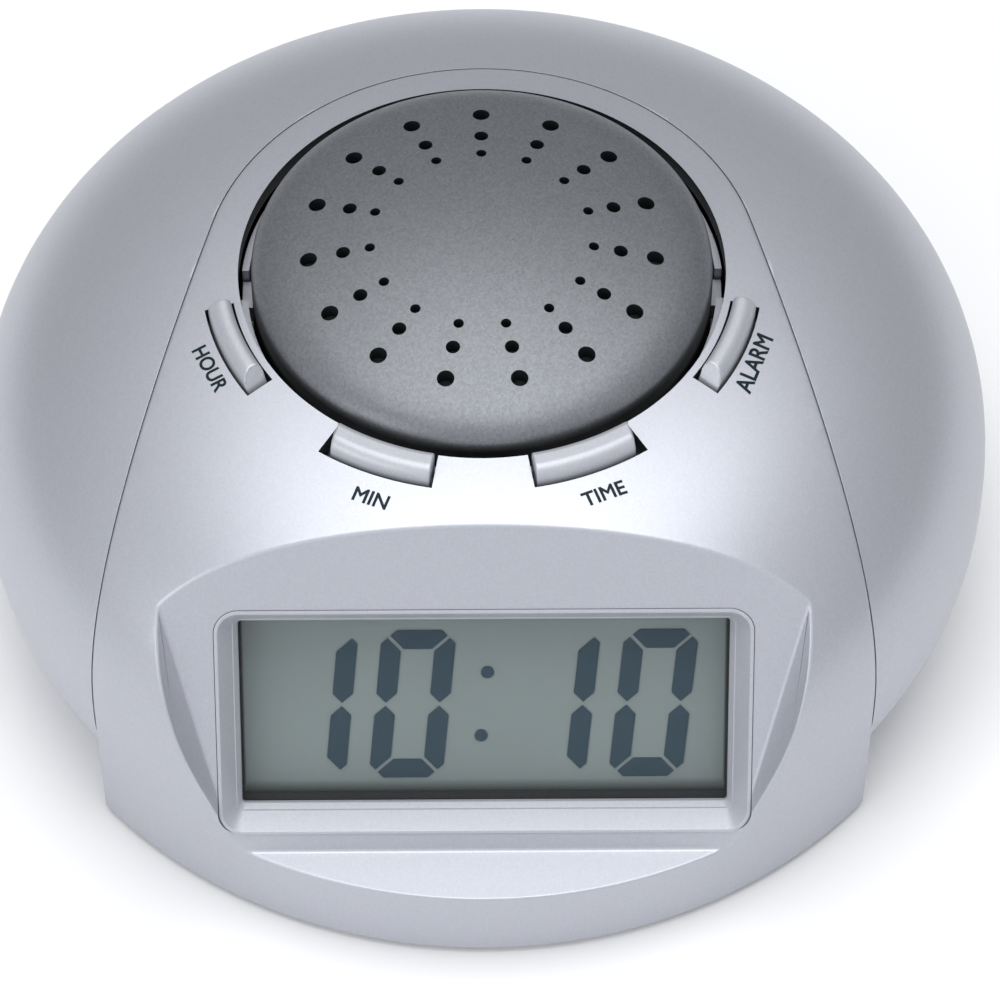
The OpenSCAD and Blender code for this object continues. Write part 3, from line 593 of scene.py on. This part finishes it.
# Near-black bare plastic: the moulding's own unpainted colour, and painted shade in the deep walls of the
# well, the key slots and the cap's sound holes where it is laid.
bare_plastic_and_shade = moulded("bare_plastic_and_shade", (0.010, 0.016, 0.018), rough=0.5)
coat(front, silver_paint, bare_plastic_and_shade)
# Faces inside the slot ring that lie below the top surface get the near-black bare plastic: partly unpainted
# moulding, partly painted shade in these deep walls.
bare_and_shade_low = 36.0
bare_and_shade_deep = 0.12
for face in front.data.polygons:
    middle = face.center / mm
    inside = math.hypot(middle.x, middle.y - speaker_y) < slot_r + rim_slack
    if inside and bare_and_shade_low < middle.z < surface_z(math.hypot(middle.x, middle.y)) - bare_and_shade_deep:
        face.material_index = 1
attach(front, "housing")
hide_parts("front_shell")

# Speaker tray: the cup that stands in the well, moulded in the same plastic and painted where it
# shows as a silver ring round the cap. Its ears are screwed to the front shell's posts, and a
# notch on each side lets a lug of the cap slide.
def dress(material, slot_name, *nodes):
    """Gives finished pieces of the frame their material"""
    for node in nodes:
        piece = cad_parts[node]
        coat(piece, material)


dress(silver_paint, "silver_paint", "speaker_tray")

# Talk cap: the round lid that is pressed to hear the time, one moulding in a darker grey metallic
# paint whose colour is darkened down its skirt, partly as thinner paint and partly as painted shade
# under the rolled edge. Fifteen rays of three sound holes go through its crown, and hooked legs,
# spring posts and two lugs are moulded under it.
cap_top = 53.4
cap_crown_r = 95.0
cap_edge_z = 47.25
cap_turn_r = 20.5
cap_turn_power = 2.8
cap_wall = 1.7
skirt_low = 39.75
crown_steps = 40
turn_in_steps = 26
hole_rays = 15
first_ray = 90
hole_places = ((20.0, 1.0), (16.0, 0.82), (12.9, 0.6))
hole_field_r = 22.0
post_ring_r = 23.2
post_r = 1.6
post_low = 44.0
post_short = 0.3
spring_angles = (30, 150, 270)
plunger_angle = 90
plunger_top = 40.0
leg_r = 24.3
leg_t = 1.2
leg_w = 3.0
leg_angles = (0, 120, 240)
hook_low = 32.6
hook_h = 1.1
hook_out = 1.0
lug_w = 3.9
lug_low = 40.0
lug_h = 2.5
lug_r = 27.85


def crown_z(r):
    """Height of the cap's shallow crown at a distance from its middle"""
    return cap_top - cap_crown_r + math.sqrt(cap_crown_r ** 2 - r ** 2)


def cap_curve(inset):
    """The cap's outline from its middle over the rolled edge and down to the skirt's edge"""
    start, reach = cap_turn_r, cap_r - inset - cap_turn_r
    fall = crown_z(cap_r) - cap_edge_z
    curve = [(start * k / crown_steps, crown_z(start * k / crown_steps) - inset) for k in range(crown_steps)]
    for k in range(turn_in_steps + 1):
        share = math.sin(math.radians(90) * k / turn_in_steps)
        rest = max(0.0, 1 - share ** cap_turn_power) ** (1 / cap_turn_power)
        r = start + reach * share
        curve.append((r, crown_z(r) - inset - fall * (1 - rest)))
    return curve + [(cap_r - inset, (cap_edge_z + skirt_low) / 2), (cap_r - inset, skirt_low)]


cap = lathe("speaker_cap", cap_curve(cap_wall) + cap_curve(0)[::-1], centre_y=speaker_y)
holes = []
for ray in range(hole_rays):
    for ring_r, hole_r in hole_places:
        holes.append(rod("hole", round_speaker(first_ray + ray * 360 / hole_rays, ring_r), hole_r,
            cap_edge_z - 2 * clear, past, small_sides))
carve(cap, together(holes))
under_crown = crown_z(post_ring_r) - cap_wall - post_short
parts = [rod("post", round_speaker(a, post_ring_r), post_r, post_low, under_crown, small_sides)
    for a in spring_angles]
parts.append(rod("post", round_speaker(plunger_angle, post_ring_r), post_r, plunger_top, under_crown,
    small_sides))
for a in leg_angles:
    leg = block("leg", (-leg_t / 2, -leg_w / 2, hook_low), (leg_t / 2, leg_w / 2, under_crown - post_short))
    hook = block("hook", (0, -leg_w / 2, hook_low), (leg_t / 2 + hook_out, leg_w / 2, hook_low + hook_h))
    carve(leg, hook, "UNION")
    x, y = round_speaker(a, leg_r)
    leg_place = Matrix.Translation(Vector((x, y, 0)) * mm) @ Matrix.Rotation(math.radians(a), 4, "Z")
    parts.append(put(leg, leg_place))
for side in (1, -1):
    ends = sorted((side * (cap_r - cap_wall + bite), side * lug_r))
    parts.append(block("lug", (ends[0], speaker_y - lug_w / 2, lug_low),
        (ends[1], speaker_y + lug_w / 2, lug_low + lug_h)))
for part in parts:
    carve(cap, part, "UNION")
smooth(cap)
# Its colour is darkened from 48.3 mm down to a tenth at 46.8 mm and below: partly thinner paint on the
# skirt, partly painted shade under the rolled edge.
cap_paint = paint("dark_silver_lacquer_and_shade", (0.182, 0.192, 0.205), metal=0.60, rough=0.44, fleck=0.17,
    fleck_size=0.24, grain=0.25, thinning_and_shade=(46.8, 48.3))
coat(cap, cap_paint, bare_plastic_and_shade, silver_paint)
# Walls of the sound holes below the crown get the near-black bare plastic, partly unpainted moulding and
# partly painted shade inside the holes; the lugs get the silver paint.
for face in cap.data.polygons:
    middle = face.center / mm
    r = math.hypot(middle.x, middle.y - speaker_y)
    if r < hole_field_r and middle.z < crown_z(r) - bare_and_shade_deep:
        face.material_index = 1
    if r > cap_r + hair:
        face.material_index = 2
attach(cap, "cap")
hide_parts("talk_cap")
cloth = moulded("woven_cloth", (0.012, 0.013, 0.014), rough=0.95, grain_size=0.3, mottle=0.4, grain=0.6)
dress(cloth, "cloth", "dust_cloth")

# Cap springs: three small coil springs of plated steel wire that stand on the tray under the cap's
# posts.
steel = moulded("plated_steel", (0.55, 0.55, 0.56), rough=0.32, grain_size=0.6, mottle=0.06, grain=0.1,
    metal=1.0)
springs = begin("return_springs")
bpy.ops.object.mode_set(mode="OBJECT")
springs.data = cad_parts["cap_springs"].data.copy()
bpy.ops.object.mode_set(mode="EDIT")
close_up()
coat(springs, steel)
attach(springs, "housing")
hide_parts("cap_springs")
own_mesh(springs)

# Keys: four narrow curved bars round the front of the well, moulded and painted like the shells.
# Their top edges are well rounded. The outer two have a sloped lower end, and the inner two have a
# slanting outer end. A lip under each keeps it in its slot.
key_gap = 0.35
key_rounds = (0.85, 1.6)
key_hip = math.radians(37)
key_hip_h = 2.3
key_end_skew = math.radians(16)
lip_t = 0.7
lip_w = 0.7
end_round = 0.18
end_reach = 0.2
key_steps = 20
key_sharp = 40
near = 0.01
key_paint = paint("key_lacquer", (0.46, 0.475, 0.51), metal=0.38, rough=0.42, fleck=0.05, fleck_size=0.20)


def pick_edges(piece, wanted):
    """Selects the active piece's edges whose two ends, in millimetres, pass a test, in edit mode"""
    bpy.ops.object.mode_set(mode="EDIT")
    bpy.ops.mesh.select_mode(type="EDGE")
    bpy.ops.mesh.select_all(action="DESELECT")
    bpy.ops.object.mode_set(mode="OBJECT")
    for edge in piece.data.edges:
        edge.select = wanted(*(piece.data.vertices[v].co / mm for v in edge.vertices))
    bpy.ops.object.mode_set(mode="EDIT")


def key(name, node, angle, outer, side):
    """One key; the side is 1 on the right and -1 on the left"""
    r_in = well_r + key_gap + (rib_t if outer else 0)
    r_out = slot_r - key_gap
    middle = (r_in + r_out) / 2
    half = slot_half - key_gap / middle
    low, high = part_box(node)[0].z / mm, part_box(node)[1].z / mm
    bar = sector(name, r_in, r_out, angle, half, low, high, key_steps)
    for r, width in zip((r_in, r_out), key_rounds):
        pick_edges(bar, lambda *ends: min(p.z for p in ends) > high - near
            and max(abs(math.hypot(p.x, p.y - speaker_y) - r) for p in ends) < near)
        bpy.ops.mesh.bevel(offset=width * mm, segments=6, affect="EDGES", clamp_overlap=False)
        bpy.ops.object.mode_set(mode="OBJECT")
    end = angle - side * half if outer else angle + side * half
    away = Vector((math.cos(end), math.sin(end), 0))
    beyond = Vector((away.y, -away.x, 0)) * (side if outer else -side)
    if outer:
        at = Vector((0, speaker_y, high - key_hip_h)) + away * middle
        out = beyond * math.cos(key_hip) + Vector((0, 0, math.sin(key_hip)))
    else:
        at = Vector((0, speaker_y, low)) + away * r_in
        out = beyond * math.cos(key_end_skew) + away * math.sin(key_end_skew)
    trim(bar, at * mm, out)
    settle(bar, end_reach, key_sharp)
    round_edges(bar, end_round, key_sharp, 3)
    lip = lip_w / middle
    carve(bar, sector("lip", r_in, slot_r + lip_w, angle, slot_half + lip, low, low + lip_t), "UNION")
    smooth(bar, key_sharp)
    coat(bar, key_paint)
    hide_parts(node)
    return bar


for name, node, body, number, side in (("key_alarm", "alarm_key", "alarm", 3, 1),
        ("key_time", "time_key", "time", 2, 1), ("key_minute", "minute_key", "minute", 1, -1),
        ("key_hour", "hour_key", "hour", 0, -1)):
    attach(key(name, node, key_angles[number], number in (0, 3), side), body)

# Key names: plain words printed in dark ink on the front shell beside their keys.
ink = moulded("print_ink", (0.006, 0.016, 0.022), rough=0.5)
ink.node_tree.nodes["Principled BSDF"].inputs["Specular IOR Level"].default_value = 0.15
letter_bold = 0.02
ink_t = 0.03
ink_gap = 0.01
drop_from = 60.0
for word, size, x, y, turn in (("HOUR", 2.42, -31.14, -10.6, -65.0), ("MIN", 2.4, -12.55, -29.45, -22.0),
        ("TIME", 2.4, 13.50, -28.97, 23.0), ("ALARM", 2.72, 31.05, -10.25, 69.5)):
    bpy.ops.object.select_all(action="DESELECT")
    bpy.ops.object.text_add()
    text = bpy.context.object
    text.data.body = word
    text.data.align_x = text.data.align_y = "CENTER"
    text.data.bevel_depth = letter_bold
    text.data.bevel_resolution = 0
    bpy.ops.object.convert(target="MESH")
    print_piece = bpy.context.object
    bpy.ops.object.mode_set(mode="EDIT")
    bpy.ops.mesh.select_all(action="SELECT")
    bpy.ops.mesh.bisect(plane_co=(0, 0, 0), plane_no=(0, 0, 1), clear_inner=True)
    close_up()
    print_piece.name = print_piece.data.name = "print_" + word.lower()
    put(print_piece, Matrix.Translation(Vector((x, y, drop_from)) * mm)
        @ Matrix.Rotation(math.radians(turn), 4, "Z") @ Matrix.Scale(size * mm, 4))
    lay = print_piece.modifiers.new("lay", "SHRINKWRAP")
    lay.target = front
    lay.wrap_method = "PROJECT"
    lay.use_project_z = True
    lay.use_negative_direction = True
    lay.use_positive_direction = False
    lay.offset = ink_gap * mm
    thick = print_piece.modifiers.new("thick", "SOLIDIFY")
    thick.thickness = ink_t * mm
    thick.offset = 1
    apply_all(print_piece)
    bpy.ops.object.mode_set(mode="EDIT")
    close_up()
    coat(print_piece, ink)
    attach(print_piece, "housing")

# Display: a silver bezel set into the face, whose inside slopes down to the window. Behind it a
# clear window, the liquid crystal panel with its driven strokes and a dark margin that is painted
# shade at the window's edges, a diffuser, two contact strips and the black frame that holds them
# together.
window_w = 55.5
window_h = 22.9
window_r = 0.4
window_deep = 3.0
bezel_proud = 0.2
bezel_rim = 0.4
bezel_low = -3.6
bezel_steps = 12
rim_round = 0.10
rim_sharp = 30
flange_w = 62.1
flange_h = 29.8
flange_r = 7.0
flange_t = 1.5
bezel = prism("display_bezel", round_rect(bezel_w, bezel_h, bezel_r, bezel_steps), bezel_low, bezel_proud)
window_ring = (window_w, window_h, window_r)
rim_ring = (bezel_w - 2 * bezel_rim, bezel_h - 2 * bezel_rim, bezel_r - bezel_rim)
rings = (window_ring + (bezel_low - clear,), window_ring + (-window_deep,), rim_ring + (bezel_proud,),
    rim_ring + (bezel_proud + clear,))
loops = []
for w, h, r, level in rings:
    ring = begin("ring")
    corners = round_rect(w, h, r, bezel_steps)
    draw([(x, y, level) for x, y in corners + [corners[0]]])
    bpy.ops.mesh.select_all(action="SELECT")
    bpy.ops.mesh.remove_doubles(threshold=hair * mm)
    if level in (rings[0][3], rings[-1][3]):
        bpy.ops.mesh.edge_face_add()
    bpy.ops.object.mode_set(mode="OBJECT")
    loops.append(ring)
slope = together(loops)
for below, above in zip(rings, rings[1:]):
    pick_edges(slope, lambda a, b: abs(a.z - b.z) < near
        and min(abs(a.z - below[3]), abs(a.z - above[3])) < near)
    bpy.ops.mesh.bridge_edge_loops()
close_up()
carve(bezel, slope)
round_edges(bezel, rim_round, rim_sharp, 2)
flange = prism("flange", round_rect(flange_w, flange_h, flange_r), bezel_low, bezel_low + flange_t)
carve(flange, prism("flange_window", round_rect(window_w + clear, window_h + clear, window_r),
    bezel_low - clear, clear))
carve(bezel, flange, "UNION")
put(bezel, display_place)
smooth(bezel)
bezel_paint = paint("bezel_lacquer", (0.46, 0.475, 0.515), metal=0.25, rough=0.42, fleck=0.05,
    fleck_size=0.20)
coat(bezel, bezel_paint)
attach(bezel, "housing")
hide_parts("lcd_bezel")
black_plastic = moulded("black_moulding", (0.012, 0.013, 0.015), rough=0.45)
dress(black_plastic, "black_plastic", "lcd_frame", "talk_switch", "key_switches", "voice_chip")
window = moulded("clear_window", (0.85, 0.9, 0.9), rough=0.12, grain_size=5.0, mottle=0.02, grain=0.0)
window_surface = window.node_tree.nodes["Principled BSDF"]
window_surface.inputs["Alpha"].default_value = 0.02
window_surface.inputs["Specular IOR Level"].default_value = 0.15
dress(window, "clear_plastic", "lcd_lens")
panel = moulded("grey_panel_edge_shade", (0.195, 0.235, 0.232), rough=0.35, grain_size=8.0, mottle=0.05, grain=0.02)
panel.node_tree.nodes["Principled BSDF"].inputs["Specular IOR Level"].default_value = 0.1
# Painted shade: the panel's colour falls to a twentieth near the window's sides, top and foot, as the shade
# of the deep window falls there.
side_shade = (0.40, 0.10)
top_shade = (1.15, 0.75)
foot_shade = (1.2, -0.4)
shade_nodes, shade_links = panel.node_tree.nodes, panel.node_tree.links
shade_from = shade_nodes.new("ShaderNodeMapping")
shade_from.vector_type = "TEXTURE"
shade_from.inputs["Location"].default_value = display_place.translation
shade_from.inputs["Rotation"].default_value = (face_tilt, 0, 0)
shade_links.new(shade_nodes["Texture Coordinate"].outputs["Object"], shade_from.inputs["Vector"])
across = shade_nodes.new("ShaderNodeSeparateXYZ")
shade_links.new(shade_from.outputs["Vector"], across.inputs["Vector"])
sideways = shade_nodes.new("ShaderNodeMath")
sideways.operation = "ABSOLUTE"
shade_links.new(across.outputs["X"], sideways.inputs[0])
dark = None
for source, start, full in (
        (sideways.outputs["Value"], window_w / 2 - side_shade[0], window_w / 2 - side_shade[1]),
        (across.outputs["Y"], window_h / 2 - top_shade[0], window_h / 2 - top_shade[1]),
        (across.outputs["Y"], -window_h / 2 + foot_shade[0], -window_h / 2 + foot_shade[1])):
    edge_shade = shade_nodes.new("ShaderNodeMapRange")
    edge_shade.inputs["From Min"].default_value = start * mm
    edge_shade.inputs["From Max"].default_value = full * mm
    shade_links.new(source, edge_shade.inputs["Value"])
    if dark:
        most = shade_nodes.new("ShaderNodeMath")
        most.operation = "MAXIMUM"
        shade_links.new(dark, most.inputs[0])
        shade_links.new(edge_shade.outputs["Result"], most.inputs[1])
        dark = most.outputs["Value"]
    else:
        dark = edge_shade.outputs["Result"]
light_left = shade_nodes.new("ShaderNodeMapRange")
light_left.inputs["To Min"].default_value = 1.0
light_left.inputs["To Max"].default_value = 0.05
shade_links.new(dark, light_left.inputs["Value"])
edge_shaded = shade_nodes.new("ShaderNodeVectorMath")
edge_shaded.operation = "SCALE"
shade_links.new(shade_nodes["Color Ramp"].outputs["Color"], edge_shaded.inputs[0])
shade_links.new(light_left.outputs["Result"], edge_shaded.inputs["Scale"])
shade_links.new(edge_shaded.outputs["Vector"], shade_nodes["Principled BSDF"].inputs["Base Color"])
dress(panel, "lcd_glass", "lcd_glass")
strokes = moulded("driven_strokes", (0.012, 0.038, 0.058), rough=0.40, grain_size=0.5, grain=0.05)
strokes.node_tree.nodes["Principled BSDF"].inputs["Specular IOR Level"].default_value = 0.1
dress(strokes, "lcd_ink", "lcd_segments")
diffuser = moulded("white_diffuser", (0.72, 0.72, 0.70), rough=0.4)
dress(diffuser, "white_plastic", "lcd_reflector")
rubber = moulded("black_rubber", (0.022, 0.022, 0.023), rough=0.8, grain_size=0.3, mottle=0.2, grain=0.4)
dress(rubber, "rubber", "contact_strips", "speaker_gasket")

# Boards: two green glass-fibre boards. The main one, screwed behind the display, carries the clock's
# chip, its crystal and two capacitors, and the small one carries the key switches under the keys.
# Brass plungers pass each press on to its switch.
board = moulded("green_board", (0.020, 0.11, 0.050), rough=0.35, grain_size=1.2, mottle=0.25, grain=0.1)
dress(board, "board", "main_board", "key_board")
dress(steel, "steel", "clock_crystal", "speaker_basket", "battery_springs", "battery_plates")
sleeve = moulded("blue_sleeve", (0.010, 0.015, 0.06), rough=0.3)
dress(sleeve, "can_sleeve", "capacitors")
brass = moulded("stamped_brass", (0.60, 0.44, 0.18), rough=0.3, grain_size=0.6, mottle=0.08, grain=0.1,
    metal=1.0)
dress(brass, "brass", "hour_plunger", "minute_plunger", "time_plunger", "alarm_plunger", "talk_plunger")

# Loudspeaker: a pressed steel basket with a black paper cone and a ferrite magnet. Three screws
# hold it under the tray.
ferrite = moulded("ferrite", (0.018, 0.018, 0.019), rough=0.6)
dress(ferrite, "magnet", "speaker_magnet")
paper = moulded("pressed_paper", (0.020, 0.020, 0.021), rough=0.9, grain_size=0.2, mottle=0.35, grain=0.5)
dress(paper, "cone_paper", "speaker_cone")

# Base: a flat plate of plain grey plastic with the battery bay, closed by a hinged door, and two
# cells in it. Four screws hold it to the shells' posts, and it stands on four rubber feet.
base_plastic = moulded("grey_moulding", (0.27, 0.28, 0.31), rough=0.5, grain_size=0.35, mottle=0.06,
    grain=0.3)
dress(base_plastic, "base_plastic", "base_plate", "battery_door")
can = moulded("cell_can", (0.035, 0.042, 0.055), rough=0.3, grain_size=3.0, mottle=0.05, grain=0.05,
    metal=0.3)
dress(can, "cell", "battery_cells")
dress(steel, "steel", "case_screws", "tray_screws", "speaker_screws", "board_screws")
dress(rubber, "rubber", "rubber_feet")
